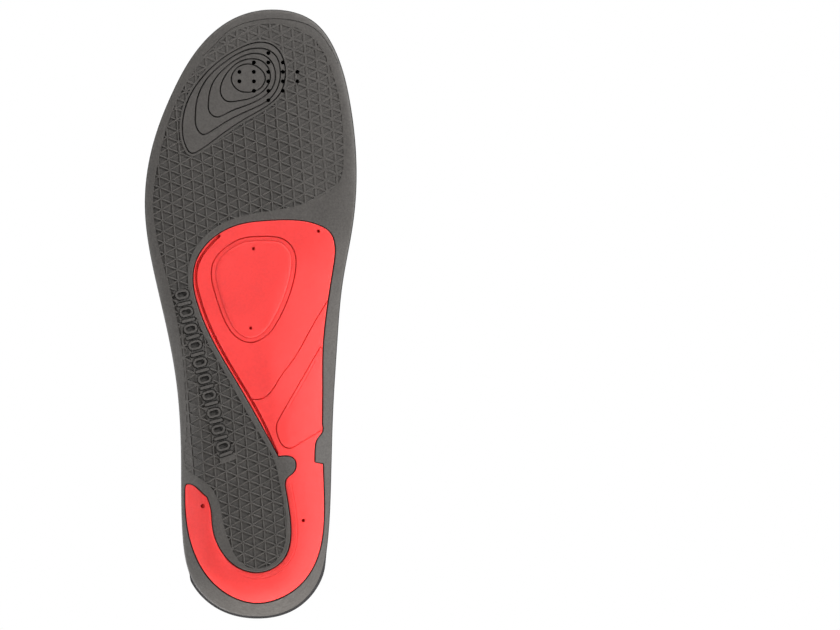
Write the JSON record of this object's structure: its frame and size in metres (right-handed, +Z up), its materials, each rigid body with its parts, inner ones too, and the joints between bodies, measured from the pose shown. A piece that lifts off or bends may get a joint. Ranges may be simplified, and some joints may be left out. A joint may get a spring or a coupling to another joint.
{
  "type": "cushioned insole",
  "caption": "Full-length moulded foam insole with a heel cup, a raised inner arch, a firm arch-and-heel support let into its ridged underside and a thin textile cover.",
  "frame": {"origin": "on the floor under the middle of the plan's bounding box", "axes": "+Z up through the foot's sole, +Y to the toes, -X to the inner (arch) side of a right foot"},
  "size_m": [0.0971, 0.2801, 0.0226],
  "materials": {
    "cover_textile": "black knitted textile, matt",
    "footbed_foam": "fine-grained grey moulded foam, matt",
    "support_gel": "red elastomer, satin"
  },
  "bodies": {
    "rearfoot": {"footbed_rearfoot": "footbed_foam", "cover_rearfoot": "cover_textile", "arch_heel_support": "support_gel"},
    "forefoot": {"footbed_forefoot": "footbed_foam", "cover_forefoot": "cover_textile"}
  },
  "joints": [
    {"name": "toe_flex", "type": "hinge", "parent": "rearfoot", "child": "forefoot", "pos_m": [0, 0.058, 0.0049], "axis": [1, 0, 0], "range_deg": [0, 50], "stiffness_Nm_per_rad": 0.1}
  ]
}
